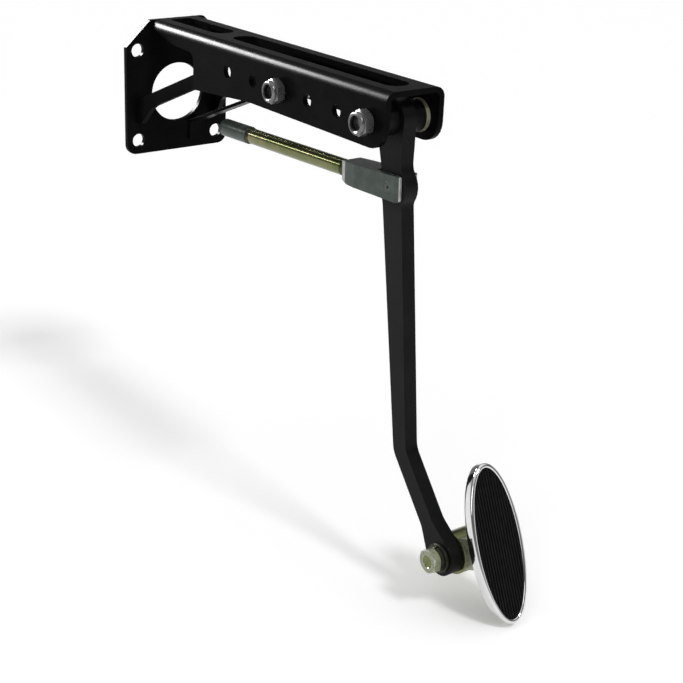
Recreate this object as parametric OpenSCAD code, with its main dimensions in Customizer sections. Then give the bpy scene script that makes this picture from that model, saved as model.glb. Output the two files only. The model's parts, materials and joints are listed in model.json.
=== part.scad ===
// Swing brake pedal on a firewall bracket. Millimetres, +Z up.
// The origin is the centre of the mounting bolt pattern on the plate's back face.
// +X points away from the firewall, towards the driver. +Y is the driver's right.

/* [Mounting plate] */
// Thickness of the mounting plate
plate_t = 4.8; // [3:0.1:8]
// Full width of the mounting plate
plate_w = 110; // [106:1:140]
// Height of the plate above the bolt pattern's centre
plate_up = 70; // [64:1:90]
// Depth of the plate below the bolt pattern's centre
plate_down = 56; // [52:1:80]
// Height of the sloped upper corners
plate_slope_h = 23.5; // [12:0.5:24]
// Radius of the two lower corners
plate_corner_r = 9.5; // [3:0.5:12]
// Radius of the large centre hole
centre_hole_r = 27.8; // [20:0.1:30]
// Side of the square bolt pattern
bolt_square = 85.7; // [80:0.1:90]
// Diameter of the four mounting holes
mount_hole_d = 12.7; // [8:0.1:13]

/* [Channel] */
// Thickness of the folded sheet
sheet_t = 4.8; // [3:0.1:5]
// Outside width of the channel
channel_w = 58.2; // [54:0.1:64]
// Outside radius of the two long folds
fold_r = 9; // [6:0.1:12]
// Height of the channel's side walls
wall_h = 42.2; // [40:0.1:46]
// Length of the channel from the plate's front face
channel_l = 355; // [352:1:380]
// Radius of the walls' lower end corners
end_low_r = 18; // [6:0.5:19]
// Rise of the channel's top over its length
top_rise = 4.4; // [0:0.1:6]
// Depth of the walls' cut-out at the plate
window_root = 7.5; // [6:0.5:12]
// Depth of the walls' cut-out at the legs' fold
window_depth = 17; // [15:0.5:20]
// Length over which the walls' lower edge slopes
taper_l = 90; // [60:1:100]
// Height by which the walls' lower edge slopes
taper_h = 7.5; // [4:0.5:9]
// Distance from the channel's top down to the row of holes
hole_drop = 22.8; // [20:0.1:24]
// Spacing of the holes in each group of three
hole_pitch = 40; // [34:0.5:42]
// Sideways splay of the two legs
leg_splay = 12; // [8:0.5:14]
// Length of the two legs, measured along X
leg_l = 76; // [70:0.5:80]
// Height of each leg's strip
leg_h = 13.4; // [10:0.1:16]

/* [Slots in the top] */
// Width of the slot next to the plate
rear_slot_w = 22; // [10:0.5:26]
// Far end of the slot next to the plate
rear_slot_end = 88; // [60:1:92]
// Width of the slot at the pedal end
front_slot_w = 22.5; // [10:0.5:26]
// Start of the slot at the pedal end
front_slot_start = 106; // [98:1:120]
// End of the slot at the pedal end
front_slot_end = 340; // [300:1:342]

/* [Bolts and nuts] */
// Diameter of the cross bolt and the pivot bolt
bolt_d = 11.1; // [8:0.1:12]
// Width of the nuts and bolt heads across their flats
hex_af = 19; // [17:0.1:20]
// Height of a bolt head
head_h = 7.5; // [5:0.1:10]
// Height of a lock nut with its collar
nut_h = 12; // [11:0.1:16]
// Depth of the bolt's end inside the nut's collar
nut_recess = 5; // [1:0.1:6]
// Distance of the cross bolt from the plate's front face
cross_x = 212.5; // [208:0.5:218]
// Outside diameter of the cross bolt's spacer tube
spacer_d = 17; // [15:0.1:20]

/* [Stay strap] */
// Width of the stay strap
stay_w = 12; // [8:0.5:14]
// Thickness of the stay strap
stay_t = 3; // [2:0.1:4]
// Height at which the stay strap reaches the plate, below the centre
stay_foot_z = -31; // [-34:0.5:-30]
// Length of the stay strap's foot on the plate
stay_foot_l = 17; // [10:0.5:20]

/* [Pivot] */
// Distance of the pivot bolt from the plate's front face
pivot_x = 332.5; // [330:0.5:334]
// Outside diameter of the hub tube
hub_d = 26; // [25:0.1:26.8]
// Outside diameter of the inner sleeve on the pivot bolt
sleeve_d = 16.5; // [15:0.1:18]
// Outside diameter of the bushes pressed into the hub
bush_d = 21.5; // [20:0.1:22.5]
// Length of each bush inside the hub
bush_l = 15; // [8:0.5:20]
// Diameter of the bushes' flanges
bush_flange_d = 27; // [27:0.1:27.6]
// Thickness of the bushes' flanges
bush_flange_t = 1.8; // [1:0.1:3]

/* [Pedal arm] */
// Thickness of the flat bar
arm_t = 12.7; // [8:0.1:14]
// Radius of the arm's eye round the hub
arm_eye_r = 18; // [16:0.1:18]
// Width of the bar next to the clevis pin
arm_top_w = 24; // [20:0.5:25]
// Width of the bar at the bend and below
arm_low_w = 16; // [12:0.5:20]
// Clevis pin's place in front of the pivot
pin_dx = 7.5; // [4:0.5:12]
// Clevis pin's place below the pivot
pin_dz = 53; // [48:0.5:58]
// Radius of the swelling round the clevis pin
pin_boss_r = 16.8; // [14:0.1:17]
// Bend's place in front of the pivot
bend_dx = 35.2; // [25:0.1:45]
// Bend's place below the pivot
bend_dz = 273.5; // [240:0.5:300]
// Pad bolt's place in front of the pivot
pad_dx = 94.2; // [80:0.1:105]
// Pad bolt's place below the pivot
pad_dz = 347; // [320:1:370]
// Radius of the eye at the arm's lower end
eye_r = 15.7; // [12:0.1:17]

/* [Push rod] */
// Diameter of the clevis pin
pin_d = 10; // [8:0.1:11]
// Overall width of the clevis
clevis_w = 22.5; // [21:0.1:26]
// Height of the clevis at its open end
clevis_h = 21.2; // [20:0.1:24]
// Height of the clevis at its closed end
clevis_neck_h = 18; // [15:0.1:19]
// Distance from the pin to the clevis's open end
clevis_front = 12; // [9:0.5:14]
// Distance from the pin to the clevis's closed end
clevis_back = 64; // [56:0.5:68]
// Distance from the pin to the bottom of the clevis's slot
clevis_throat = 20; // [18:0.5:22]
// Diameter of the push rod
rod_d = 14.3; // [12:0.1:15]
// Diameter of the rod's two threaded ends
thread_d = 11.1; // [9:0.1:11.5]
// Length of thread that shows at each end of the rod
thread_show = 2; // [0.5:0.1:4]
// Length of the push rod outside the clevis
rod_l = 168; // [150:1:180]
// Length of rod that is screwed into the clevis
rod_grip = 26; // [20:0.5:30]
// Tilt of the push rod below level, towards the firewall
rod_tilt = 2.2; // [0:0.1:3]
// Diameter of the coupler
coupler_d = 15.9; // [15:0.1:18]
// Length of the coupler
coupler_l = 42; // [36:1:54]
// Length of rod that is screwed into the coupler
coupler_grip = 20; // [12:0.5:22]
// Diameter of the coupler's open threaded hole
coupler_hole_d = 10; // [8:0.1:11]

/* [Pad] */
// Diameter of the pad bolt
pad_bolt_d = 12.7; // [10:0.1:13]
// Diameter of the boss on the pad's back
boss_d = 36; // [30:0.5:40]
// Length of the boss on the pad's back
boss_l = 38; // [30:0.5:46]
// Sideways place of the pad's middle
pad_y = 31; // [28:0.5:36]
// Tilt of the pad's face, top away from the driver
pad_tilt = 23; // [10:0.5:30]
// Half of the pad's height over the trim
pad_a = 67.6; // [60:0.1:72]
// Half of the pad's width over the trim
pad_b = 26; // [24:0.1:34]
// Shift of the pad's middle above the pad bolt, along the face
pad_rise = 3; // [0:0.5:6]
// Gap between the boss and the back of the pad
pad_standoff = 7.5; // [5:0.1:12]
// Width of the saddle between the boss and the back plate
saddle_w = 26; // [18:0.5:30]
// Diameter of the pad bolt's flat washer
flat_d = 24.8; // [22:0.1:28]
// Diameter of the pad bolt's lock washer
lock_d = 20.8; // [19:0.1:23]
// Thickness of the pad's back plate
back_t = 3; // [2:0.1:4]
// Depth of the trim ring
trim_h = 9.6; // [8:0.1:12]
// Width of the trim ring's front lip
trim_lip = 4.2; // [3:0.1:6]
// Thickness of the trim ring's side
trim_t = 1.6; // [1:0.1:2]
// Height of the ribs on the rubber
rib_h = 1.6; // [1:0.1:2]
// Spacing of the ribs on the rubber
rib_pitch = 4.5; // [4:0.1:6]

/* [Fits] */
// Radial clearance of a bolt in its hole
bolt_play = 0.1; // [0.05:0.01:0.2]
// Radial clearance of a running fit
run_play = 0.05; // [0.02:0.01:0.1]
// Gap between the stay strap and the channel's wall
stay_gap = 0.3; // [0.2:0.05:0.5]
// Side clearance between pieces that turn against each other
side_play = 0.3; // [0.2:0.05:0.5]

/* [Hidden] */
eps = 0.01;
cut = 1;

// Heights and places that several pieces share
top_z = plate_up;
wall_z = top_z - wall_h;
axis_z = top_z - hole_drop;
in_half = channel_w / 2 - sheet_t;
bolt_r = bolt_d / 2;
stay_y = in_half - stay_gap - stay_w / 2;
hub_half = in_half - side_play - bush_flange_t;
pivot = [plate_t + pivot_x, axis_z];
cross = [plate_t + cross_x, axis_z];
pin = pivot + [pin_dx, -pin_dz];
bend = pivot + [bend_dx, -bend_dz];
pad_axis = pivot + [pad_dx, -pad_dz];
boss_y0 = arm_t / 2 + side_play;
boss_y = boss_y0 + boss_l / 2 - pad_y;
back_n = boss_d / 2 + pad_standoff;
lock_t = 3;
flat_t = 2.4;
black = [0.03, 0.03, 0.032];
zinc = [0.72, 0.73, 0.72];
gold = [0.74, 0.64, 0.36];

// A corner list [x, y, radius] becomes a point list with round corners
function unit(v) = v / norm(v);
function corner(a, b, c, r, n = 6) =
    r <= 0 ? [b] :
    let (u = unit(a - b), w = unit(c - b),
         half = acos(u * w) / 2,
         mid = b + unit(u + w) * r / sin(half),
         p = b + u * r / tan(half) - mid,
         q = b + w * r / tan(half) - mid,
         a0 = atan2(p[1], p[0]),
         turn = atan2(p[0] * q[1] - p[1] * q[0], p * q))
    [for (i = [0:n]) mid + r * [cos(a0 + turn * i / n), sin(a0 + turn * i / n)]];
function xy(v) = [v[0], v[1]];
function rounded(list, n = 6) =
    [for (i = [0:len(list) - 1])
        each corner(xy(list[(i + len(list) - 1) % len(list)]), xy(list[i]),
                    xy(list[(i + 1) % len(list)]), list[i][2], n)];
function oval(a, b, n = 72) = [for (i = [0:n - 1]) [a * cos(360 * i / n), b * sin(360 * i / n)]];

// Extrudes an outline drawn in the side view (x, z) from y0 to y1
module side_extrude(y0, y1) {
    translate([0, y1, 0]) rotate([90, 0, 0]) linear_extrude(y1 - y0) children();
}
// A round bar along Y at the side view point p
module y_bar(p, r, y0, y1, fn = 64) {
    translate([p[0], y1, p[1]]) rotate([90, 0, 0]) cylinder(r = r, h = y1 - y0, $fn = fn);
}
// A hexagonal bar along Y
module y_hex(p, af, y0, y1) {
    translate([p[0], y1, p[1]]) rotate([90, 0, 0]) rotate(30)
        cylinder(r = af / sqrt(3), h = y1 - y0, $fn = 6);
}

module mount_plate() {
    w = plate_w / 2;
    color(black) difference() {
        rotate([90, 0, 90]) linear_extrude(plate_t) polygon(rounded([
            [-w, -plate_down, plate_corner_r], [w, -plate_down, plate_corner_r],
            [w, plate_up - plate_slope_h, 2], [channel_w / 2, plate_up, 1],
            [-channel_w / 2, plate_up, 1], [-w, plate_up - plate_slope_h, 2]]));
        translate([-cut, 0, 0]) rotate([0, 90, 0])
            cylinder(r = centre_hole_r, h = plate_t + 2 * cut, $fn = 96);
        for (y = [-1, 1], z = [-1, 1])
            translate([-cut, y * bolt_square / 2, z * bolt_square / 2]) rotate([0, 90, 0])
                cylinder(d = mount_hole_d, h = plate_t + 2 * cut, $fn = 48);
    }
}

// Cross-section of a folded channel (y, z) with its folds at the top
module fold_section(half, top, r) {
    translate([-half, -2 * wall_h]) square([2 * half, top - r + 2 * wall_h]);
    translate([r - half, top - r - cut]) square([2 * (half - r), r + cut]);
    for (s = [-1, 1]) translate([s * (half - r), top - r]) circle(r = r, $fn = 64);
}

// Long block with straight sides and two folds at its rising top. The folds' curves reach
// their tangents a little outside the sides, so the sides stay flat.
module folded_block(half, drop, r) {
    blend = 0.02;
    intersection() {
        translate([0, -half, -2 * wall_h])
            cube([plate_t + channel_l + fold_r, 2 * half, top_z + 3 * wall_h]);
        translate([plate_t, 0, top_z]) rotate([0, -atan2(top_rise, channel_l), 0])
            translate([-fold_r, 0, -top_z]) rotate([90, 0, 90])
            linear_extrude(channel_l + 3 * fold_r) fold_section(half + blend, top_z - drop, r);
    }
}

// Side outline of the walls: sloping lower edge, cut-out above the legs, round lower end.
// The top isn't in it, so it stands clear above the folds.
module wall_outline() {
    x0 = plate_t;
    xl = plate_t + leg_l;
    xe = plate_t + channel_l;
    over = top_z + top_rise + fold_r;
    polygon(rounded([
        [x0, over, 0], [xe, over, 0], [xe, wall_z, end_low_r],
        [xl + taper_l, wall_z, taper_l * 0.6], [xl, wall_z - taper_h, 0],
        [xl, top_z - window_depth, window_root], [xl - leg_l * 0.47, top_z - window_depth + 1.5, 24],
        [x0 + window_root, top_z - window_root, 4], [x0, top_z - window_root, 0]]));
}

// Side outline of one leg, from the walls' fold down to the plate
leg_top = wall_z + 6;
leg_slope = 0.49;
module leg_outline() {
    xl = plate_t + leg_l;
    foot = leg_top - leg_slope * leg_l;
    polygon(rounded([
        [xl + 0.5, wall_z - taper_h + 0.1, 0], [xl + 0.5, leg_top + 0.25, 0], [xl, leg_top, 0],
        [plate_t, foot, 0], [plate_t, foot - leg_h - 9, 0],
        [plate_t + 6, foot - leg_h - 9, 3], [plate_t + 22, foot - leg_h + 22 * leg_slope, 22],
        [xl - 4, leg_top - leg_h - 4 * leg_slope, 8]]));
}

// Plan outline of one splayed leg, with a mitred fold against the wall
module leg_plan() {
    xl = plate_t + leg_l;
    y1 = channel_w / 2;
    drop = leg_l * tan(leg_splay);
    wide = sheet_t / cos(leg_splay);
    polygon([[xl + 0.5, y1], [xl, y1], [plate_t, y1 + drop], [plate_t, y1 + drop - wide],
             [xl - sheet_t * tan(leg_splay / 2), y1 - sheet_t], [xl + 0.5, y1 - sheet_t]]);
}

// Long slot through the channel's top: r0 and r1 are the corner radii at its two ends
module slot(x0, x1, w, r0, r1) {
    translate([plate_t, 0, top_z - sheet_t - cut]) linear_extrude(sheet_t + top_rise + 3 * cut)
        polygon(rounded([[x0, -w / 2, r0], [x1, -w / 2, r1], [x1, w / 2, r1], [x0, w / 2, r0]], 10));
}

module channel() {
    color(black) difference() {
        union() {
            intersection() {
                difference() {
                    folded_block(channel_w / 2, 0, fold_r);
                    folded_block(in_half, sheet_t, fold_r - sheet_t);
                }
                side_extrude(-channel_w, channel_w) wall_outline();
            }
            for (s = [0, 1]) mirror([0, s, 0]) intersection() {
                translate([0, 0, -plate_down]) linear_extrude(plate_down + plate_up) leg_plan();
                side_extrude(0, channel_w + leg_l) leg_outline();
            }
        }
        for (g = [cross[0], pivot[0]], i = [0:2])
            y_bar([g - i * hole_pitch, axis_z], bolt_r + bolt_play, -channel_w, channel_w, 48);
        slot(fold_r - sheet_t, rear_slot_end, rear_slot_w, 4, rear_slot_w / 2 - 0.1);
        slot(front_slot_start, front_slot_end, front_slot_w, front_slot_w / 2 - 0.1,
             front_slot_w / 2 - 0.1);
    }
}

// Flat strap from the plate's lower part to a rolled eye on the cross bolt's spacer
module stay_strap() {
    eye_in = spacer_d / 2 + run_play;
    mid = eye_in + stay_t / 2;
    foot = [plate_t, stay_foot_z];
    d = cross - foot;
    lean = atan2(d[1], d[0]) + asin(mid / norm(d));
    u = [cos(lean), sin(lean)];
    v = [-u[1], u[0]];
    touch = cross + v * mid;
    half = stay_t / 2;
    color(black) side_extrude(stay_y - stay_w / 2, stay_y + stay_w / 2) difference() {
        union() {
            translate(cross) circle(r = eye_in + stay_t, $fn = 64);
            polygon(rounded([
                concat(touch + v * half, 0), concat(foot + [0, half / cos(lean)], 3),
                [foot[0], foot[1] - stay_foot_l, 0],
                [foot[0] + stay_t, foot[1] - stay_foot_l, 0],
                concat([foot[0] + stay_t, foot[1] + stay_t * tan(lean) - half / cos(lean)], 1),
                concat(touch - v * half, 0)]));
        }
        translate(cross) circle(r = eye_in, $fn = 64);
    }
}

// Hexagon bolt along Y with its head on the far side
module through_bolt(p, r, y_head, y_end) {
    y_bar(p, r, y_end, y_head + 1, 48);
    intersection() {
        y_hex(p, hex_af, y_head, y_head + head_h);
        translate([p[0], y_head, p[1]]) rotate([-90, 0, 0]) union() {
            cylinder(r = hex_af, h = head_h - 1.6);
            translate([0, 0, head_h - 1.6])
                cylinder(r1 = hex_af * 0.6, r2 = hex_af * 0.47, h = 1.6, $fn = 48);
        }
    }
}

// Lock nut with a round collar, along Y: it stands towards -Y from the face at y0
module lock_nut(p, r, y0) {
    collar = 3.6;
    translate([p[0], y0, p[1]]) rotate([90, 0, 0]) difference() {
        union() {
            intersection() {
                rotate(30) cylinder(r = hex_af / sqrt(3), h = nut_h - collar, $fn = 6);
                cylinder(r1 = hex_af / 2 + nut_h - collar, r2 = hex_af / 2 + 0.3,
                         h = nut_h - collar, $fn = 64);
            }
            translate([0, 0, nut_h - collar - eps])
                cylinder(r = hex_af / 2 - 0.3, h = collar - 1.2 + eps, $fn = 64);
            translate([0, 0, nut_h - 1.2 - eps])
                cylinder(r1 = hex_af / 2 - 0.3, r2 = hex_af / 2 - 1.4, h = 1.2 + eps, $fn = 64);
        }
        translate([0, 0, -cut]) cylinder(r = r + run_play, h = nut_h + 2 * cut, $fn = 48);
    }
}

face = channel_w / 2;
module cross_bolt() { color(zinc) through_bolt(cross, bolt_r, face, -face - nut_h + nut_recess); }
module cross_nut() { color(zinc) lock_nut(cross, bolt_r, -face); }
module pivot_bolt() { color(zinc) through_bolt(pivot, bolt_r, face, -face - nut_h + nut_recess); }
module pivot_nut() { color(zinc) lock_nut(pivot, bolt_r, -face); }

// Tube along Y between y0 and y1
module tube(p, ro, ri, y0, y1) {
    difference() {
        y_bar(p, ro, y0, y1);
        y_bar(p, ri, y0 - cut, y1 + cut);
    }
}
module cross_spacer() { color(zinc) tube(cross, spacer_d / 2, bolt_r + bolt_play, -in_half, in_half); }
module pivot_sleeve() { color(zinc) tube(pivot, sleeve_d / 2, bolt_r + bolt_play, -in_half, in_half); }
module pivot_hub() { color(black) tube(pivot, hub_d / 2, bush_d / 2, -hub_half, hub_half); }

// Flanged bush: side is -1 for the near end of the hub and 1 for the far end
module hub_bush(side) {
    bore = sleeve_d / 2 + run_play;
    color(gold) mirror([0, side < 0 ? 1 : 0, 0]) difference() {
        union() {
            y_bar(pivot, bush_d / 2, hub_half - bush_l, hub_half + eps);
            y_bar(pivot, bush_flange_d / 2, hub_half, hub_half + bush_flange_t);
        }
        y_bar(pivot, bore, hub_half - bush_l - cut, hub_half + bush_flange_t + cut);
    }
}
module hub_bush_near() { hub_bush(-1); }
module hub_bush_far() { hub_bush(1); }

// The swelling round the pin is a circle between two tangent lines. They start on the bar's
// edge: a along the bar and h across it from the pin. This is the tangents' angle to the bar.
function lean(a, h, r) = atan2(a, h) - acos(r / norm([a, h]));

// One edge of the bar: s is 1 for the driver's side and -1 for the firewall's side
function left_of(v) = [-v[1], v[0]];
function edge(s) =
    let (u1 = unit(pin - pivot), u2 = unit(bend - pin), u3 = unit(pad_axis - bend),
         n1 = left_of(u1) * s, n2 = left_of(u2) * s, n3 = left_of(u3) * s,
         h = arm_top_w * (s > 0 ? 0.45 : 0.55), k = arm_low_w / 2, nm = unit(n2 + n3),
         r = pin_boss_r, a = arm_top_w * 0.58)
    [concat(pivot + n1 * (arm_eye_r - 0.2), 0),
     concat(pin - u2 * a + n2 * h, s > 0 ? 14 : 6),
     concat(pin + n2 * r / cos(lean(a, h, r)), r),
     concat(pin + u2 * a + n2 * h, 10),
     concat(bend + nm * k / (nm * n2), 20),
     concat(pad_axis - u3 * 30 + n3 * k, 20),
     concat(pad_axis - u3 * 9 + n3 * (eye_r - 1.8), 4),
     concat(pad_axis + n3 * (eye_r - 1.8), 0)];
function reversed(list) = [for (i = [len(list) - 1:-1:0]) list[i]];

module pedal_arm() {
    color(black) difference() {
        union() {
            side_extrude(-arm_t / 2, arm_t / 2)
                polygon(rounded(concat(edge(1), reversed(edge(-1))), 8));
            y_bar(pivot, arm_eye_r, -arm_t / 2, arm_t / 2);
            y_bar(pad_axis, eye_r, -arm_t / 2, arm_t / 2);
        }
        y_bar(pivot, hub_d / 2, -arm_t, arm_t);
        y_bar(pin, pin_d / 2 + run_play, -arm_t, arm_t, 48);
        y_bar(pad_axis, pad_bolt_d / 2 + bolt_play, -arm_t, arm_t, 48);
    }
}

// Pad bolt: head and washers on the near side, lock nut beyond the boss
pad_head_y = -arm_t / 2 - flat_t - lock_t;
module pad_bolt() {
    end = boss_y0 + boss_l + side_play + nut_h - nut_recess;
    color(gold) mirror([0, 1, 0]) through_bolt(pad_axis, pad_bolt_d / 2, -pad_head_y, -end);
}
module pad_lock_washer() {
    color(gold) difference() {
        tube(pad_axis, lock_d / 2, pad_bolt_d / 2 + bolt_play, pad_head_y, pad_head_y + lock_t);
        translate([pad_axis[0], pad_head_y - cut, pad_axis[1] + pad_bolt_d / 2 - cut])
            rotate([0, 0, 20]) cube([lock_t / 2, lock_t + 3 * cut, lock_d / 2]);
    }
}
module pad_flat_washer() {
    color(gold)
        tube(pad_axis, flat_d / 2, pad_bolt_d / 2 + bolt_play, -arm_t / 2 - flat_t, -arm_t / 2);
}
module pad_nut() {
    color(gold) mirror([0, 1, 0])
        lock_nut(pad_axis, pad_bolt_d / 2, -(boss_y0 + boss_l + side_play));
}

// The push rod's own frame: origin on the clevis pin, -X along the rod to the firewall
module rod_frame() {
    translate([pin[0], 0, pin[1]]) rotate([0, -rod_tilt, 0]) children();
}
module x_bar(r, x0, x1, fn = 64) {
    translate([x0, 0, 0]) rotate([0, 90, 0]) cylinder(r = r, h = x1 - x0, $fn = fn);
}

module clevis() {
    h = clevis_h / 2;
    k = clevis_neck_h / 2;
    w = clevis_w / 2;
    slot_half = arm_t / 2 + side_play;
    color([0.62, 0.66, 0.62]) rod_frame() difference() {
        intersection() {
            side_extrude(-w, w) polygon(rounded([
                [clevis_front, h, 2.5], [clevis_front, -h, 2.5], [-clevis_back + 8, -k - 0.8, 4],
                [-clevis_back, -k + 2, 2], [-clevis_back, k, 2]]));
            translate([0, 0, -clevis_h]) linear_extrude(2 * clevis_h) polygon(rounded([
                [clevis_front, w - 2.4, 1], [clevis_front - 3, w, 2], [-clevis_back + 20, w, 10],
                [-clevis_back, k, 2], [-clevis_back, -k, 2], [-clevis_back + 20, -w, 10],
                [clevis_front - 3, -w, 2], [clevis_front, 2.4 - w, 1]]));
        }
        translate([-clevis_throat, -slot_half, -clevis_h])
            cube([clevis_throat + clevis_front + cut, 2 * slot_half, 2 * clevis_h]);
        x_bar(thread_d / 2 + run_play, -clevis_back - cut, -clevis_throat + cut);
        y_bar([0, 0], pin_d / 2, -clevis_w, clevis_w, 48);
    }
}
module clevis_pin() {
    color(zinc) rod_frame() y_bar([0, 0], pin_d / 2, -clevis_w / 2, clevis_w / 2, 48);
}
module push_rod() {
    x0 = -clevis_back - rod_l;
    color(gold) rod_frame() {
        x_bar(thread_d / 2, x0, -clevis_back + rod_grip);
        x_bar(rod_d / 2, x0 + coupler_grip + thread_show, -clevis_back - thread_show);
    }
}
module rod_coupler() {
    x0 = -clevis_back - rod_l;
    color(zinc) rod_frame() difference() {
        x_bar(coupler_d / 2, x0 - coupler_l + coupler_grip, x0 + coupler_grip);
        x_bar(thread_d / 2 + run_play, x0, x0 + coupler_grip + cut);
        x_bar(coupler_hole_d / 2, x0 - coupler_l + coupler_grip - cut, x0 + eps, 48);
    }
}

// The pad's own frame: origin on the pad bolt, +Z out of the face, +X up the face
module pad_frame() {
    translate([pad_axis[0], pad_y, pad_axis[1]]) rotate([0, -pad_tilt, 0])
        rotate([0, 90, 0]) rotate([0, 0, 180]) children();
}
module pad_boss() {
    color(gold) tube(pad_axis, boss_d / 2, pad_bolt_d / 2 + run_play, boss_y0, boss_y0 + boss_l);
}
module pad_back_plate() {
    color(gold) pad_frame() difference() {
        union() {
            translate([pad_rise, 0, back_n]) linear_extrude(back_t)
                polygon(oval(pad_a - trim_t - 0.1, pad_b - trim_t - 0.1));
            translate([-saddle_w / 2, -boss_y - boss_l / 2, saddle_w / 6])
                cube([saddle_w, boss_l, back_n - saddle_w / 6 + eps]);
        }
        translate([0, boss_l, 0]) rotate([90, 0, 0]) cylinder(d = boss_d, h = 2 * boss_l, $fn = 96);
    }
}
module pad_rubber() {
    a = pad_a - trim_t - 0.1;
    b = pad_b - trim_t - 0.1;
    z0 = back_n + back_t;
    top = back_n + trim_h - 0.6;
    color(black) pad_frame() translate([pad_rise, 0, 0]) {
        translate([0, 0, z0]) linear_extrude(2) polygon(oval(a, b));
        translate([0, 0, z0 + 2 - eps]) linear_extrude(top - rib_h - z0 - 2 + eps)
            polygon(oval(pad_a - trim_lip - 0.3, pad_b - trim_lip - 0.3));
        n = floor((pad_b - trim_lip - 2) / rib_pitch);
        intersection() {
            translate([0, 0, top - rib_h - eps]) linear_extrude(rib_h + eps)
                polygon(oval(pad_a - trim_lip - 0.8, pad_b - trim_lip - 0.8));
            for (i = [-n:n]) translate([-pad_a, i * rib_pitch - rib_pitch * 0.28, z0])
                cube([2 * pad_a, rib_pitch * 0.56, trim_h]);
        }
    }
}
// Ring swept round an oval: profile points are [inward distance from the outline, height]
module oval_ring(a, b, profile, n = 72) {
    m = len(profile);
    points = [for (i = [0:n - 1], q = profile)
        [(a - q[0]) * cos(360 * i / n), (b - q[0]) * sin(360 * i / n), q[1]]];
    faces = [for (i = [0:n - 1], j = [0:m - 1])
        let (i2 = (i + 1) % n, j2 = (j + 1) % m)
        [i * m + j, i * m + j2, i2 * m + j2, i2 * m + j]];
    polyhedron(points = points, faces = faces, convexity = 6);
}
module pad_trim() {
    r = 2.2;
    seat = back_t + 2 + 0.1;
    bow = [for (i = [0:4]) [r - r * sin(i * 22.5), trim_h - r + r * cos(i * 22.5)]];
    color([0.85, 0.86, 0.88]) pad_frame() translate([pad_rise, 0, back_n])
        oval_ring(pad_a, pad_b, concat(bow, [[0.5, 0.6], [0.9, 0], [trim_t, 0], [trim_t, seat],
            [trim_lip, seat], [trim_lip, trim_h - 1.2], [trim_lip - 0.8, trim_h - 0.3]]));
}

mount_plate();
channel();
stay_strap();
cross_bolt();
cross_nut();
cross_spacer();
pivot_bolt();
pivot_nut();
pivot_sleeve();
pedal_arm();
pivot_hub();
hub_bush_near();
hub_bush_far();
pad_bolt();
pad_lock_washer();
pad_flat_washer();
pad_nut();
clevis();
clevis_pin();
push_rod();
rod_coupler();
pad_boss();
pad_back_plate();
pad_rubber();
pad_trim();
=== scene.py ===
import json
import math

import bmesh
import bpy
from mathutils import Matrix, Vector


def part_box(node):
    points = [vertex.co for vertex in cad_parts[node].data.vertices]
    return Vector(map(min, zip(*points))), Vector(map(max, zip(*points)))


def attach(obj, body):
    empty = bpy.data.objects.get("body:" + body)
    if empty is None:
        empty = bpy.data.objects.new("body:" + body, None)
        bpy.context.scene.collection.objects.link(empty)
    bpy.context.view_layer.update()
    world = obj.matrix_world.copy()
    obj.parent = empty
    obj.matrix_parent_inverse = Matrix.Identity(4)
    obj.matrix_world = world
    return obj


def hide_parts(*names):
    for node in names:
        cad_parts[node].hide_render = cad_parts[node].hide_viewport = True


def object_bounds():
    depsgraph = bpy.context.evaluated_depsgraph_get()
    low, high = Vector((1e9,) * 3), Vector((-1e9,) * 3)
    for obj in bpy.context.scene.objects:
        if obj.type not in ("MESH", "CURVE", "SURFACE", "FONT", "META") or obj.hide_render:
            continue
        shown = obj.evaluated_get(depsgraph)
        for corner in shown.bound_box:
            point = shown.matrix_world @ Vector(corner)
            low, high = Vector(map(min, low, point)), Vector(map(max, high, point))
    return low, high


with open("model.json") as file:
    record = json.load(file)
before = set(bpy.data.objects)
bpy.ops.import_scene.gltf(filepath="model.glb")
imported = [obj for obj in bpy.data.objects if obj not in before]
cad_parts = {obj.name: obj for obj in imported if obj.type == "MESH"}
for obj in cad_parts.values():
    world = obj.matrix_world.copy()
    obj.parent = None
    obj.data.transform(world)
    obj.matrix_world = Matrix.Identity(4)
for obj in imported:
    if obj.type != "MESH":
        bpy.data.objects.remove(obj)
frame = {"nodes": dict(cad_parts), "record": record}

cad_box = [[float(v) for v in corner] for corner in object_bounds()]
nodes = frame["nodes"]
MM = 0.001

# The record says which body and which finish each node has
body_of = {n: body for body, members in frame["record"]["behaviour"]["bodies"].items()
           for n in members}
slot_of = {entry["node"]: entry["material_slot"] for entry in frame["record"]["subparts"]}

# Sizes shared with the CAD source, in millimetres
HEX_AF = 19.0
HEAD_H = 7.5
COLLAR_H = 3.6
BOLT_R = 5.55
PAD_BOLT_R = 6.35
THREAD_PITCH = 1.5
ROD_TILT = math.radians(2.2)
ROD_R = 7.15
ROD_THREAD_R = 5.55
ROD_GRIP = 26.0
ROD_L = 168.0
CLEVIS_BACK = 64.0
COUPLER_R = 7.95
COUPLER_L = 42.0
COUPLER_GRIP = 20.0
COUPLER_HOLE_R = 5.0
PAD_TILT = math.radians(23)
PAD_Y = 31.0
PAD_RISE = 3.0
PAD_A = 67.6
PAD_B = 26.0
PAD_BACK = 25.5
PAD_BACK_T = 3.0
TRIM_H = 9.6
TRIM_LIP = 4.2
TRIM_T = 1.6

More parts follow.
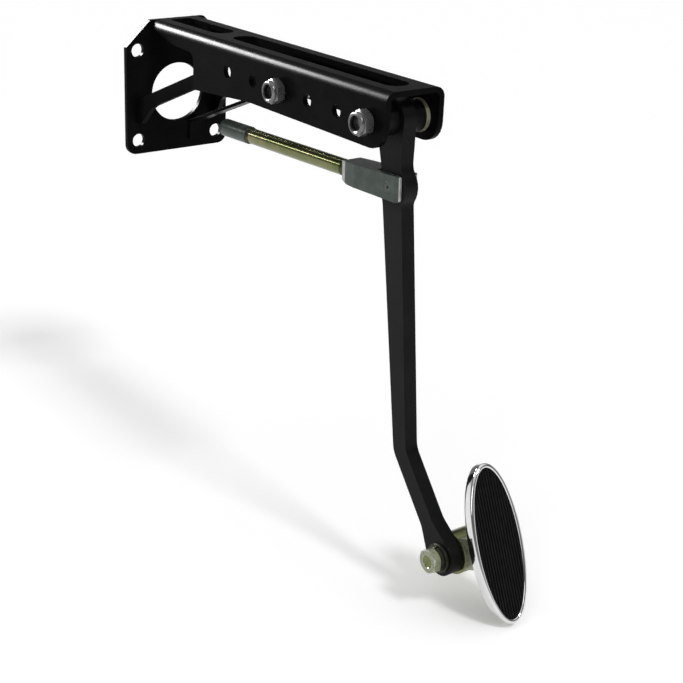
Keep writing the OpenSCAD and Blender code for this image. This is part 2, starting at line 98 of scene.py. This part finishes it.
# Sizes of the finer shapes that only the scene has, in millimetres
BOLT_THREAD_L = 14.0
BOLT_THREAD_DEPTH = 0.5
THREAD_PLAY = 0.05
FLAT_R = HEX_AF / 2
BEARING_R = FLAT_R - 0.35
BEARING_H = 0.45
CROWN_R = FLAT_R - 0.2
NECK_R = FLAT_R - 0.3
DISH_R = 5.7
DISH_DEPTH = 0.7
NUT_BEND = 2.0
NUT_LIP = 0.75
HUB_BARE = 20.4
# Lengths of the clevis's rear and of its cut end that are painted bright, a painted highlight
CLEVIS_REAR_HIGHLIGHT = 6.0
CLEVIS_END_HIGHLIGHT = 1.2
# Radius of the painted shade in the pin's centre holes, then the holes' depth
PIN_HOLE_SHADE_R = 1.6
PIN_MARK_DEPTH = 0.6
BACK_THREAD = 4.5
FRONT_THREAD = 6.8
INNER_THREAD = 8.5
RIB_PITCH = 2.8
RIB_H = 1.6
RIB_HALF = RIB_PITCH * 0.36
RIBS_EACH_SIDE = 7
RIB_FADE = 1.2
RUBBER_GAP = 0.3
RUBBER_SUNK = 0.6
RUBBER_PLAY = 0.1
FLANGE_T = 2.0

# How finely the round and ribbed shapes are divided
RINGS_PER_TURN = 6
TRIM_STEPS = 192
RIB_COLUMNS = 14
RUBBER_ROWS = 72

# Camera: its place in metres, how it is turned, and its lens, from the photograph's outlines
EYE = Vector((1.23101, -0.72996, 0.32685))
TURN = math.radians(52.518)
TILT = math.radians(67.803)
ROLL = math.radians(2.412)
LENS = 78.98
SENSOR = 36.0

facing = (Matrix.Rotation(TURN, 4, "Z") @ Matrix.Rotation(TILT, 4, "X")
          @ Matrix.Rotation(ROLL, 4, "Z"))
forward = facing.to_3x3() @ Vector((0, 0, -1))


def add_camera():
    data = bpy.data.cameras.new("camera")
    data.lens = LENS
    data.sensor_width = SENSOR
    data.sensor_fit = "HORIZONTAL"
    data.clip_start = 0.05
    data.clip_end = 80.0
    camera = bpy.data.objects.new("camera", data)
    bpy.context.scene.collection.objects.link(camera)
    camera.matrix_world = Matrix.Translation(EYE) @ facing
    bpy.context.scene.camera = camera


add_camera()
bpy.context.scene.view_settings.view_transform = "Standard"


class Shader:
    """A material's node tree, with short calls for the nodes that it uses most."""

    def __init__(self, name):
        self.material = bpy.data.materials.new(name)
        self.material.use_nodes = True
        self.tree = self.material.node_tree
        self.bsdf = self.tree.nodes["Principled BSDF"]
        self.coords = self.tree.nodes.new("ShaderNodeTexCoord").outputs["Object"]

    def node(self, kind, **values):
        made = self.tree.nodes.new(kind)
        for key, value in values.items():
            if key in made.inputs:
                made.inputs[key].default_value = value
            else:
                setattr(made, key, value)
        return made

    def link(self, a, b):
        self.tree.links.new(a, b)

    def noise(self, scale, detail, rough):
        made = self.node("ShaderNodeTexNoise", Scale=scale, Detail=detail, Roughness=rough)
        self.link(self.coords, made.inputs["Vector"])
        return made.outputs["Fac"]

    def ramp(self, source, stops):
        made = self.node("ShaderNodeValToRGB")
        set_stops(made.color_ramp, stops)
        self.link(source, made.inputs["Fac"])
        return made.outputs["Color"]

    def spread(self, source, low, high):
        """The middle of a noise's range, spread from low to high."""
        made = self.node("ShaderNodeMapRange")
        for key, value in (("From Min", 0.3), ("From Max", 0.7), ("To Min", low), ("To Max", high)):
            made.inputs[key].default_value = value
        self.link(source, made.inputs["Value"])
        return made.outputs["Result"]

    def bump(self, source, strength, distance):
        made = self.node("ShaderNodeBump", Strength=strength, Distance=distance)
        self.link(source, made.inputs["Height"])
        self.link(made.outputs["Normal"], self.bsdf.inputs["Normal"])


def set_stops(color_ramp, stops):
    while len(color_ramp.elements) < len(stops):
        color_ramp.elements.new(0.5)
    for element, (place, colour) in zip(color_ramp.elements, stops):
        element.position = place
        element.color = (*colour, 1.0)


def grey(v):
    return (v, v, v)


def finish(name, colours, rough, scale, grain, bump, depth, metallic=0.0, specular=0.5):
    """A finish with cloudy colour, uneven gloss and a fine surface grain."""
    s = Shader(name)
    s.bsdf.inputs["Metallic"].default_value = metallic
    s.bsdf.inputs["Specular IOR Level"].default_value = specular
    cloud = s.noise(scale, 4.0, 0.55)
    s.link(s.ramp(cloud, list(zip((0.3, 0.5, 0.7), colours))), s.bsdf.inputs["Base Color"])
    wear = s.noise(scale * 2.7, 5.0, 0.6)
    s.link(s.spread(wear, *rough), s.bsdf.inputs["Roughness"])
    s.bump(s.noise(grain, 2.0, 0.5), bump, depth)
    return s.material


# Three tones of the colour, the range of roughness, the scale of the clouds and of the grain,
# and the grain's bump with its depth in metres. Black paint has little gloss of its own, so that
# it doesn't mirror the white floor.
FINISHES = {
    "gloss_black": dict(colours=[grey(0.002), grey(0.003), grey(0.0045)], rough=(0.25, 0.33),
                        scale=35, grain=380, bump=0.04, depth=0.00005, specular=0.02),
    "satin_black": dict(colours=[(0.0028, 0.0034, 0.003), (0.004, 0.0048, 0.0042),
                                 (0.006, 0.007, 0.006)],
                        rough=(0.36, 0.46), scale=45, grain=1100, bump=0.12, depth=0.00008,
                        specular=0.08),
    "zinc": dict(colours=[(0.1, 0.105, 0.1), (0.15, 0.155, 0.15), (0.21, 0.215, 0.21)],
                 rough=(0.22, 0.3), scale=50, grain=500, bump=0.01, depth=0.00003,
                 metallic=0.75),
    # A bright grey used only to paint highlights onto the clevis and the pad bolt's crown
    "painted_highlight_zinc": dict(colours=[grey(0.3), grey(0.42), grey(0.54)], rough=(0.25, 0.4),
                        scale=300, grain=500, bump=0.03, depth=0.00003, metallic=0.4),
    "pale_zinc": dict(colours=[(0.2, 0.23, 0.14), (0.27, 0.29, 0.19), (0.34, 0.34, 0.24)],
                      rough=(0.24, 0.34), scale=60, grain=500, bump=0.01, depth=0.00003,
                      metallic=0.6),
    "bush_metal": dict(colours=[(0.2, 0.19, 0.12), (0.28, 0.27, 0.18), (0.36, 0.34, 0.24)],
                       rough=(0.3, 0.4), scale=120, grain=500, bump=0.02, depth=0.00003,
                       metallic=0.4),
    "dark_zinc": dict(colours=[(0.02, 0.024, 0.015), (0.035, 0.038, 0.024),
                               (0.055, 0.055, 0.035)],
                      rough=(0.3, 0.45), scale=120, grain=500, bump=0.03, depth=0.00003,
                      metallic=0.7, specular=0.2),
    "dull_yellow": dict(colours=[(0.03, 0.032, 0.014), (0.06, 0.06, 0.028), (0.1, 0.095, 0.05)],
                        rough=(0.3, 0.4), scale=300, grain=900, bump=0.05, depth=0.00003,
                        metallic=0.8),
    "yellow_zinc": dict(colours=[(0.12, 0.15, 0.055), (0.175, 0.185, 0.075),
                                 (0.23, 0.21, 0.11)],
                        rough=(0.13, 0.19), scale=70, grain=300, bump=0.01, depth=0.00003,
                        metallic=0.9),
    "grey_zinc": dict(colours=[(0.045, 0.058, 0.048), (0.06, 0.075, 0.063),
                               (0.085, 0.1, 0.087)],
                      rough=(0.28, 0.4), scale=90, grain=900, bump=0.06, depth=0.00004,
                      metallic=0.6, specular=0.3),
    "chrome": dict(colours=[grey(0.66), grey(0.72), grey(0.78)], rough=(0.03, 0.07),
                   scale=60, grain=500, bump=0.01, depth=0.00003, metallic=1.0),
    "rubber": dict(colours=[grey(0.004), grey(0.006), grey(0.009)], rough=(0.42, 0.56),
                   scale=160, grain=2200, bump=0.2, depth=0.00008, specular=0.1),
}
looks = {name: finish(name, **values) for name, values in FINISHES.items()}


def dress(target, look):
    target.data.materials.clear()
    target.data.materials.append(looks[look])


for node, look in slot_of.items():
    dress(nodes[node], look)


def paint(piece, look, test):
    """A second finish on the faces whose centre, in millimetres, and normal pass the test."""
    piece.data.materials.append(looks[look])
    for face in piece.data.polygons:
        if test(face.center / MM, face.normal):
            face.material_index = len(piece.data.materials) - 1


def centre(node):
    low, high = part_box(node)
    return (low + high) / 2


def add_piece(name, bm, stands_for, look=None, matrix=None, sharp=35):
    """A mesh piece in the row frame that rides on its node's body."""
    if matrix:
        bm.transform(matrix)
    bmesh.ops.recalc_face_normals(bm, faces=bm.faces)
    for face in bm.faces:
        face.smooth = True
    for edge in bm.edges:
        edge.smooth = edge.calc_face_angle(0.0) < math.radians(sharp)
    mesh = bpy.data.meshes.new(name)
    bm.to_mesh(mesh)
    bm.free()
    piece = bpy.data.objects.new(name, mesh)
    bpy.context.scene.collection.objects.link(piece)
    weigh = piece.modifiers.new("weigh", "WEIGHTED_NORMAL")
    weigh.keep_sharp = True
    piece.data = bpy.data.meshes.new_from_object(
        piece.evaluated_get(bpy.context.evaluated_depsgraph_get()))
    piece.data.name = name
    piece.modifiers.clear()
    dress(piece, look or slot_of[stands_for])
    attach(piece, body_of[stands_for])
    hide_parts(stands_for)
    return piece


def softened(node, width, look=None, cuts=()):
    """The node's own shape with its sharp edges rounded to that width in millimetres.

    cuts are planes that divide its faces, so that paint can stop there."""
    bm = bmesh.new()
    bm.from_mesh(nodes[node].data)
    bmesh.ops.remove_doubles(bm, verts=bm.verts, dist=2e-6)
    bmesh.ops.dissolve_limit(bm, angle_limit=math.radians(0.6), verts=bm.verts, edges=bm.edges)
    hard = [e for e in bm.edges if e.is_manifold and e.calc_face_angle(0.0) > math.radians(32)]
    bmesh.ops.bevel(bm, geom=hard, offset=width * MM, segments=3, profile=0.5,
                    affect="EDGES", clamp_overlap=True)
    for point, normal in cuts:
        bmesh.ops.bisect_plane(bm, geom=bm.verts[:] + bm.edges[:] + bm.faces[:],
                               plane_co=point, plane_no=normal)
    return add_piece(node + "_finish", bm, node, look=look)


def lathe(rings, sides=96, loop=False):
    """A mesh round +Z. Each ring is (height, radius); both may be functions of the angle.

    loop joins the last ring to the first, for a tube; otherwise both ends are closed."""
    bm = bmesh.new()
    angles = [2 * math.pi * i / sides for i in range(sides)]

    def at(value, angle):
        return value(angle) if callable(value) else value

    rows = [[bm.verts.new((at(r, a) * math.cos(a) * MM, at(r, a) * math.sin(a) * MM,
                           at(h, a) * MM)) for a in angles] for h, r in rings]
    pairs = list(zip(rows, rows[1:] + (rows[:1] if loop else [])))
    for low, high in pairs:
        for i in range(sides):
            j = (i + 1) % sides
            bm.faces.new((low[i], low[j], high[j], high[i]))
    if not loop:
        bm.faces.new(list(reversed(rows[0])))
        bm.faces.new(rows[-1])
    return bm


def along_y(x, y, z, sign):
    """Local +Z becomes the row frame's +Y or -Y, from the point x, y, z."""
    return Matrix(((1, 0, 0, x), (0, 0, sign, y), (0, -sign, 0, z), (0, 0, 0, 1)))


def hexagon(angle):
    """Distance from the axis to the hexagon's side at that angle."""
    return FLAT_R / math.cos((angle + math.pi / 6) % (math.pi / 3) - math.pi / 6)


CONE = math.tan(math.radians(30))


def chamfer(height, radius, slope):
    """Height at which a cone through that circle meets the hexagon."""
    return lambda angle: height + slope * (hexagon(angle) - radius)


def thread(height, radius, depth):
    """Radius of a screw thread at that height, as a function of the angle."""
    def at(angle):
        phase = (height / THREAD_PITCH - angle / (2 * math.pi)) % 1.0
        return radius - depth * abs(2 * phase - 1)
    return at


def thread_rings(start, end, radius, depth):
    count = max(2, round((end - start) / THREAD_PITCH * RINGS_PER_TURN))
    heights = [start + (end - start) * i / count for i in range(count + 1)]
    return [(h, thread(h, radius, depth)) for h in heights]


def hex_bolt(node, radius, side, look=None):
    """Bolt along Y with a chamfered, dished head; side is the end where its head is."""
    low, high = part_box(node)
    middle = centre(node)
    length = (high.y - low.y) / MM - HEAD_H
    y = high.y - HEAD_H * MM if side > 0 else low.y + HEAD_H * MM
    bottom = HEAD_H - DISH_DEPTH
    tip = [(-length, radius - 1.4), (-length + 0.5, radius - 0.8)]
    shank = thread_rings(-length + 0.9, -length + BOLT_THREAD_L, radius, BOLT_THREAD_DEPTH)
    shank += [(-length + BOLT_THREAD_L + 0.6, radius), (-0.5, radius), (0.0, radius + 0.3)]
    head = [(0.0, BEARING_R), (BEARING_H, BEARING_R),
            (chamfer(BEARING_H, BEARING_R, CONE), hexagon),
            (chamfer(HEAD_H, CROWN_R, -CONE), hexagon), (HEAD_H, CROWN_R),
            (HEAD_H, CROWN_R - 0.3)]
    dish = [(HEAD_H, DISH_R + 0.5), (HEAD_H - 0.15, DISH_R), (bottom, DISH_R - 0.5),
            (bottom, DISH_R - 0.8)]
    return add_piece(node + "_finish", lathe(tip + shank + head + dish), node, look=look,
                     matrix=along_y(middle.x, y, middle.z, side), sharp=24)


def pad_bolt():
    """Pad bolt with a painted highlight on the crown facets that face -Y, and a duller dished
    centre.
    """
    piece = hex_bolt("pad_bolt", PAD_BOLT_R, -1, look="pale_zinc")
    middle, top = centre("pad_bolt") / MM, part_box("pad_bolt")[0].y / MM
    crown_end = top + 1.3
    # Painted highlight on the crown facets that face -Y
    paint(piece, "painted_highlight_zinc",
          lambda at, normal: at.y < crown_end and -0.97 < normal.y < -0.4)
    paint(piece, "yellow_zinc",
          lambda at, normal: at.y < crown_end and
          math.hypot(at.x - middle.x, at.z - middle.z) < DISH_R)


def lock_nut(node, radius, side):
    """Lock nut along Y with its collar pointing to that side, and its dark insert."""
    low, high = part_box(node)
    middle = centre(node)
    top = (high.y - low.y) / MM
    base = top - COLLAR_H
    y = low.y if side > 0 else high.y
    bore = radius + THREAD_PLAY
    lip = radius + NUT_LIP
    turns = [math.radians(a) for a in range(0, 91, 15)]
    rings = [(0.0, BEARING_R), (chamfer(0.0, BEARING_R, CONE), hexagon),
             (chamfer(base, NECK_R, -CONE), hexagon), (base, NECK_R)]
    rings += [(top - NUT_BEND + NUT_BEND * math.sin(t), NECK_R - NUT_BEND + NUT_BEND * math.cos(t))
              for t in turns]
    rings += [(top - 0.15, lip + 0.5), (top - 0.5, lip + 0.12), (top - 0.9, lip),
              (base - 0.3, lip), (base - 0.3, bore), (0.6, bore), (0.0, bore + 0.5)]
    matrix = along_y(middle.x, y, middle.z, side)
    add_piece(node + "_finish", lathe(rings, loop=True), node, matrix=matrix, sharp=24)
    insert = [(base - 0.28, lip - 0.02), (top - 1.1, lip - 0.02), (top - 0.95, lip - 0.25),
              (top - 1.0, bore + 0.25), (top - 1.3, bore), (base - 0.28, bore)]
    add_piece(node + "_insert", lathe(insert, loop=True), node, look="rubber",
              matrix=matrix)


hex_bolt("cross_bolt", BOLT_R, 1)
hex_bolt("pivot_bolt", BOLT_R, 1)
pad_bolt()
for node, radius, side in (("cross_nut", BOLT_R, -1), ("pivot_nut", BOLT_R, -1),
                           ("pad_nut", PAD_BOLT_R, 1)):
    lock_nut(node, radius, side)

for node, width in (("mount_plate", 0.5), ("channel", 0.45), ("stay_strap", 0.4),
                    ("cross_spacer", 0.3), ("pivot_sleeve", 0.3), ("pedal_arm", 0.6),
                    ("pad_boss", 0.8)):
    softened(node, width)
for node, width, look in (("pad_back_plate", 0.4, "pale_zinc"),
                          ("hub_bush_near", 0.3, "bush_metal"),
                          ("hub_bush_far", 0.3, "bush_metal"),
                          ("pad_flat_washer", 0.4, "dark_zinc"),
                          ("pad_lock_washer", 0.3, "dark_zinc")):
    softened(node, width, look=look)


def pivot_hub():
    """Hub with bare ends, where the bushes are pressed in."""
    ends = [((0, side * HUB_BARE * MM, 0), (0, 1, 0)) for side in (-1, 1)]
    piece = softened("pivot_hub", 0.3, cuts=ends)
    paint(piece, "bush_metal", lambda at, normal: abs(at.y) > HUB_BARE)


def clevis():
    """Clevis with its cut end, and the rear facets that face -Y, painted bright as a painted
    highlight.
    """
    low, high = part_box("clevis")
    end, rear = high.x / MM - CLEVIS_END_HIGHLIGHT, low.x / MM + CLEVIS_REAR_HIGHLIGHT
    piece = softened("clevis", 0.8, look="grey_zinc", cuts=[((rear * MM, 0, 0), (1, 0, 0))])
    # Painted highlight: the cut end, and the rear facets that face -Y, get the bright finish
    paint(piece, "painted_highlight_zinc",
          lambda at, normal: at.x > end or (at.x < rear and normal.y < -0.5))
    return piece


def clevis_pin():
    """Pin of the clevis's own grey with a small centre hole in each end, painted dark as painted
    shade.
    """
    low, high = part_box("clevis_pin")
    middle = centre("clevis_pin")
    length = (high.y - low.y) / MM
    radius = (high.z - low.z) / 2 / MM
    half = [(PIN_MARK_DEPTH, 0.2), (PIN_MARK_DEPTH, 1.0), (0.0, 1.5), (0.0, radius - 0.25),
            (0.25, radius)]
    rings = half + [(length - h, r) for h, r in reversed(half)]
    piece = add_piece("clevis_pin_finish", lathe(rings), "clevis_pin", look="grey_zinc",
                      matrix=along_y(middle.x, low.y, middle.z, 1))
    # Painted shade: the centre holes are painted dark
    paint(piece, "dark_zinc",
          lambda at, normal: abs(at.y - middle.y / MM) < length / 2 - 0.1 and
          math.hypot(at.x - middle.x / MM, at.z - middle.z / MM) < PIN_HOLE_SHADE_R)


pivot_hub()
clevis_piece = clevis()
clevis_pin()

# The push rod's frame: its origin is the clevis pin and local +Z points along the rod
rod_cos, rod_sin = math.cos(ROD_TILT), math.sin(ROD_TILT)
pin = centre("clevis_pin")
rod_frame = Matrix(((0, -rod_sin, rod_cos, pin.x), (1, 0, 0, pin.y), (0, rod_cos, rod_sin, pin.z),
                    (0, 0, 0, 1)))
rod_start = -CLEVIS_BACK - ROD_L


def push_rod():
    """Rod with a thinner thread at both ends and a dull stretch of turns before each."""
    left = rod_start + COUPLER_GRIP
    right = -CLEVIS_BACK
    thin = ROD_THREAD_R - 0.2
    rings = [(rod_start, ROD_THREAD_R - 1), (rod_start + 0.8, thin), (left - 0.2, thin),
             (left - 0.1, ROD_R - 0.6)]
    rings += thread_rings(left + 0.2, left + BACK_THREAD, ROD_R - 0.1, 0.5)
    rings += [(left + BACK_THREAD + 0.7, ROD_R), (right - FRONT_THREAD - 0.6, ROD_R)]
    rings += thread_rings(right - FRONT_THREAD, right - 0.3, ROD_R - 0.1, 0.5)
    rings += [(right - 0.1, ROD_R - 0.7), (right + 0.1, ROD_THREAD_R)]
    rings += thread_rings(right + 0.3, right + INNER_THREAD, ROD_THREAD_R, 0.4)
    rings += [(right + ROD_GRIP - 0.8, thin), (right + ROD_GRIP, ROD_THREAD_R - 1)]
    piece = add_piece("push_rod_finish", lathe(rings, sides=64), "push_rod", matrix=rod_frame,
                      sharp=40)
    paint(piece, "dull_yellow", lambda at, normal:
          not left + BACK_THREAD < (at.x - pin.x / MM) / rod_cos < right - FRONT_THREAD)
    return piece


def coupler():
    """Tube with a thread inside its open end, screwed on the rod."""
    left, right = rod_start - COUPLER_L + COUPLER_GRIP, rod_start + COUPLER_GRIP
    bore = ROD_THREAD_R + THREAD_PLAY
    rings = [(left, COUPLER_R - 1.0), (left + 0.35, COUPLER_R - 0.3), (left + 1.0, COUPLER_R),
             (right - 1.0, COUPLER_R), (right - 0.35, COUPLER_R - 0.3), (right, COUPLER_R - 0.8),
             (right, ROD_THREAD_R + 0.3), (right - 0.4, bore), (rod_start, bore),
             (rod_start - 0.1, COUPLER_HOLE_R)]
    rings += reversed(thread_rings(left + 0.8, rod_start - 0.6, COUPLER_HOLE_R + 0.4, 0.4))
    rings += [(left, COUPLER_HOLE_R + 0.8)]
    return add_piece("rod_coupler_finish", lathe(rings, sides=80, loop=True), "rod_coupler",
                     look="grey_zinc", matrix=rod_frame, sharp=40)


rod_piece = push_rod()
coupler_piece = coupler()

# The pad's frame: local +X is up the face, +Z out of it, and the origin is on the pad bolt
pad_cos, pad_sin = math.cos(PAD_TILT), math.sin(PAD_TILT)
boss = centre("pad_boss")
pad_frame = Matrix(((-pad_sin, 0, pad_cos, boss.x), (0, -1, 0, PAD_Y * MM),
                    (pad_cos, 0, pad_sin, boss.z), (0, 0, 0, 1)))


def arc(x, y, r, start, end, steps):
    return [(x + r * math.cos(math.radians(start + (end - start) * i / steps)),
             y + r * math.sin(math.radians(start + (end - start) * i / steps)))
            for i in range(steps + 1)]


def pad_trim():
    """Bright ring. Its section, in (distance in from the outline, height), goes up the side, over
    the rounded front, down the lip's inner edge and back to the foot."""
    seat = PAD_BACK_T + 2.1
    section = [(1.05, 0.0), (0.7, 0.18), (0.48, 0.7), (0.33, 3.0), (0.2, 6.0)]
    section += arc(2.35, TRIM_H - 2.2, 2.2, 180, 90, 8)
    section += [(2.7, TRIM_H - 0.02)]
    section += arc(TRIM_LIP - 1.2, TRIM_H - 1.25, 1.2, 80, 0, 6)
    section += [(TRIM_LIP, seat + 0.3), (TRIM_LIP - 0.3, seat), (TRIM_T, seat), (TRIM_T, 0.0)]
    bm = bmesh.new()
    rows = []
    for i in range(TRIM_STEPS):
        t = 2 * math.pi * i / TRIM_STEPS
        rows.append([bm.verts.new((((PAD_A - q) * math.cos(t) + PAD_RISE) * MM,
                                   (PAD_B - q) * math.sin(t) * MM, (PAD_BACK + h) * MM))
                     for q, h in section])
    for a, b in zip(rows, rows[1:] + rows[:1]):
        for j in range(len(section)):
            k = (j + 1) % len(section)
            bm.faces.new((a[j], a[k], b[k], b[j]))
    add_piece("pad_trim_finish", bm, "pad_trim", matrix=pad_frame, sharp=50)


def rib_height(y):
    """Height of the ribbed face at that distance across the pad."""
    nearest = round(y / RIB_PITCH)
    off = abs(y - nearest * RIB_PITCH) / RIB_HALF
    if abs(nearest) > RIBS_EACH_SIDE or off >= 1:
        return 0.0
    return RIB_H * math.sqrt(1 - off ** 4)


def rubber_grid(bm, a, b):
    """Columns of points over the oval's ribbed face, which sinks to its edge."""
    top = PAD_BACK + TRIM_H - RUBBER_SUNK - RIB_H
    columns = round(2 * b / RIB_PITCH * RIB_COLUMNS)
    grid = []
    for i in range(columns + 1):
        y = b * 0.996 * (2 * i / columns - 1)
        half = a * math.sqrt(1 - (y / b) ** 2)
        column = []
        for j in range(RUBBER_ROWS + 1):
            x = half * math.sin((2 * j / RUBBER_ROWS - 1) * math.pi / 2)
            fade = min(1.0, max(0.0, (half - abs(x)) / RIB_FADE))
            rise = rib_height(y) * math.sqrt(max(0.0, 1 - (1 - fade) ** 2))
            column.append(bm.verts.new(((x + PAD_RISE) * MM, y * MM, (top + rise) * MM)))
        grid.append(column)
    return grid


def pad_rubber():
    """Ribbed rubber face, closed by a skirt, a flange under the ring's lip and a back."""
    a, b = PAD_A - TRIM_LIP - RUBBER_GAP, PAD_B - TRIM_LIP - RUBBER_GAP
    wide_a, wide_b = PAD_A - TRIM_T - RUBBER_PLAY, PAD_B - TRIM_T - RUBBER_PLAY
    foot = PAD_BACK + PAD_BACK_T
    bm = bmesh.new()
    grid = rubber_grid(bm, a, b)
    for low, high in zip(grid, grid[1:]):
        for j in range(RUBBER_ROWS):
            bm.faces.new((low[j], high[j], high[j + 1], low[j + 1]))
    edge = grid[0][::-1] + [c[0] for c in grid[1:]] + grid[-1][1:]
    edge += [c[-1] for c in reversed(grid[1:-1])]

    def lower(ring, z, scale_x=1.0, scale_y=1.0):
        made = [bm.verts.new(((v.co.x - PAD_RISE * MM) * scale_x + PAD_RISE * MM,
                              v.co.y * scale_y, z * MM)) for v in ring]
        for i in range(len(ring)):
            k = (i + 1) % len(ring)
            bm.faces.new((ring[i], ring[k], made[k], made[i]))
        return made

    skirt = lower(edge, foot + FLANGE_T)
    flange = lower(skirt, foot + FLANGE_T, wide_a / a, wide_b / b)
    back = lower(flange, foot)
    bm.faces.new(back)
    add_piece("pad_rubber_finish", bm, "pad_rubber", matrix=pad_frame, sharp=50)


pad_trim()
pad_rubber()

# Floor, in metres, and the little more light in which camera and reflections see it
FLOOR_Z = cad_box[0][2] - 0.002
FLOOR_HALF = 25.0
FLOOR_WHITE = 0.93
FLOOR_LIFT = 0.14

# Sky: its strength at each height, from pale at the floor over dim walls to a bright top
SKY = ((0.0, 0.95), (0.05, 0.6), (0.14, 0.22), (0.3, 0.12), (0.42, 0.12), (0.85, 0.98))

# Lamps: places in metres, and the slope of the surfaces that show the two strips
TARGET = Vector((0.2, 0.0, 0.04))
TO_SUN = Vector((0.61, 0.05, 0.74))
SUN_STRENGTH = 1.15
SUN_ANGLE = math.radians(11)
FILL_PLACE = (1.5, -1.35, 0.75)
FILL_POWER = 5.0
FILL_SIZE = 0.8
STRIP_FAR = 1.2
FOLD_LEAN = math.radians(45)
ROD_LEAN = math.radians(32.95)


def paper():
    """Matt white whose lift only the camera, gloss and glass see."""
    s = Shader("paper")
    for socket, value in (("Roughness", 0.9), ("Specular IOR Level", 0.0),
                          ("Base Color", (*grey(FLOOR_WHITE), 1.0)),
                          ("Emission Color", (1, 1, 1, 1))):
        s.bsdf.inputs[socket].default_value = value
    path = s.node("ShaderNodeLightPath")
    seen = path.outputs["Is Camera Ray"]
    for ray in ("Is Glossy Ray", "Is Transmission Ray"):
        either = s.node("ShaderNodeMath", operation="MAXIMUM")
        s.link(seen, either.inputs[0])
        s.link(path.outputs[ray], either.inputs[1])
        seen = either.outputs[0]
    lift = s.node("ShaderNodeMath", operation="MULTIPLY")
    lift.inputs[1].default_value = FLOOR_LIFT
    s.link(seen, lift.inputs[0])
    s.link(lift.outputs[0], s.bsdf.inputs["Emission Strength"])
    return s.material


def lay_floor():
    """Pale floor just under the pad."""
    mesh = bpy.data.meshes.new("floor")
    mesh.from_pydata([(x * FLOOR_HALF, y * FLOOR_HALF, FLOOR_Z)
                      for x, y in ((-1, -1), (1, -1), (1, 1), (-1, 1))], [], [(0, 1, 2, 3)])
    floor = bpy.data.objects.new("floor", mesh)
    bpy.context.scene.collection.objects.link(floor)
    floor.data.materials.append(paper())


def light_studio():
    """World whose light changes with height only."""
    world = bpy.data.worlds.new("studio")
    bpy.context.scene.world = world
    world.use_nodes = True
    tree = world.node_tree
    background = tree.nodes["Background"]
    background.inputs["Color"].default_value = (1, 1, 1, 1)
    sky = tree.nodes.new("ShaderNodeTexCoord")
    split = tree.nodes.new("ShaderNodeSeparateXYZ")
    fade = tree.nodes.new("ShaderNodeValToRGB")
    set_stops(fade.color_ramp, [(height, grey(strength)) for height, strength in SKY])
    tree.links.new(sky.outputs["Generated"], split.inputs[0])
    tree.links.new(split.outputs["Z"], fade.inputs["Fac"])
    tree.links.new(fade.outputs["Color"], background.inputs["Strength"])


def lamp(name, kind, place, energy, **settings):
    """Lamp that faces the target and that the camera doesn't see."""
    data = bpy.data.lights.new(name, kind)
    data.energy = energy
    for key, value in settings.items():
        setattr(data, key, value)
    made = bpy.data.objects.new(name, data)
    bpy.context.scene.collection.objects.link(made)
    made.location = place
    made.rotation_euler = (TARGET - Vector(place)).to_track_quat("-Z", "Y").to_euler()
    made.visible_camera = False
    return made


def mirrored(lean):
    """Direction that the camera sees in a face along X whose normal leans that far up from -Y."""
    normal = Vector((0, -math.cos(lean), math.sin(lean)))
    return forward - 2 * forward.dot(normal) * normal


def spare(strip, pieces):
    """Keeps the strip's light off those pieces."""
    group = bpy.data.collections.new(strip.name + "_spared")
    for piece in pieces:
        group.objects.link(piece)
    for entry in group.collection_objects:
        entry.light_linking.link_state = "EXCLUDE"
    strip.light_linking.receiver_collection = group


def strip_lamp(name, lean, start, end, width, radiance):
    """Lamp along X, from start to end in metres, that only shows in gloss."""
    away = mirrored(lean)
    place = Vector(((start + end) / 2, TARGET.y, TARGET.z)) + away * STRIP_FAR
    strip = lamp(name, "AREA", place, radiance * math.pi * (end - start) * width,
                 shape="RECTANGLE", size=width, size_y=end - start)
    along = Vector((1, 0, 0))
    along = (along - away * along.dot(away)).normalized()
    strip.rotation_euler = Matrix((along.cross(away), along, away)).transposed().to_euler()
    strip.visible_diffuse = False
    return strip


lay_floor()
light_studio()
lamp("sun", "SUN", TARGET + TO_SUN, SUN_STRENGTH, angle=SUN_ANGLE)
# The wide strip draws the channel's near fold and would burn out the rod, which has its own
fold_strip = strip_lamp("fold_strip", FOLD_LEAN, start=-0.7, end=-0.13, width=0.55,
                        radiance=165.0)
spare(fold_strip, (rod_piece, coupler_piece, clevis_piece))
strip_lamp("rod_strip", ROD_LEAN, start=-0.3, end=0.6, width=0.05, radiance=16.0)
lamp("fill", "AREA", FILL_PLACE, FILL_POWER, shape="DISK", size=FILL_SIZE)
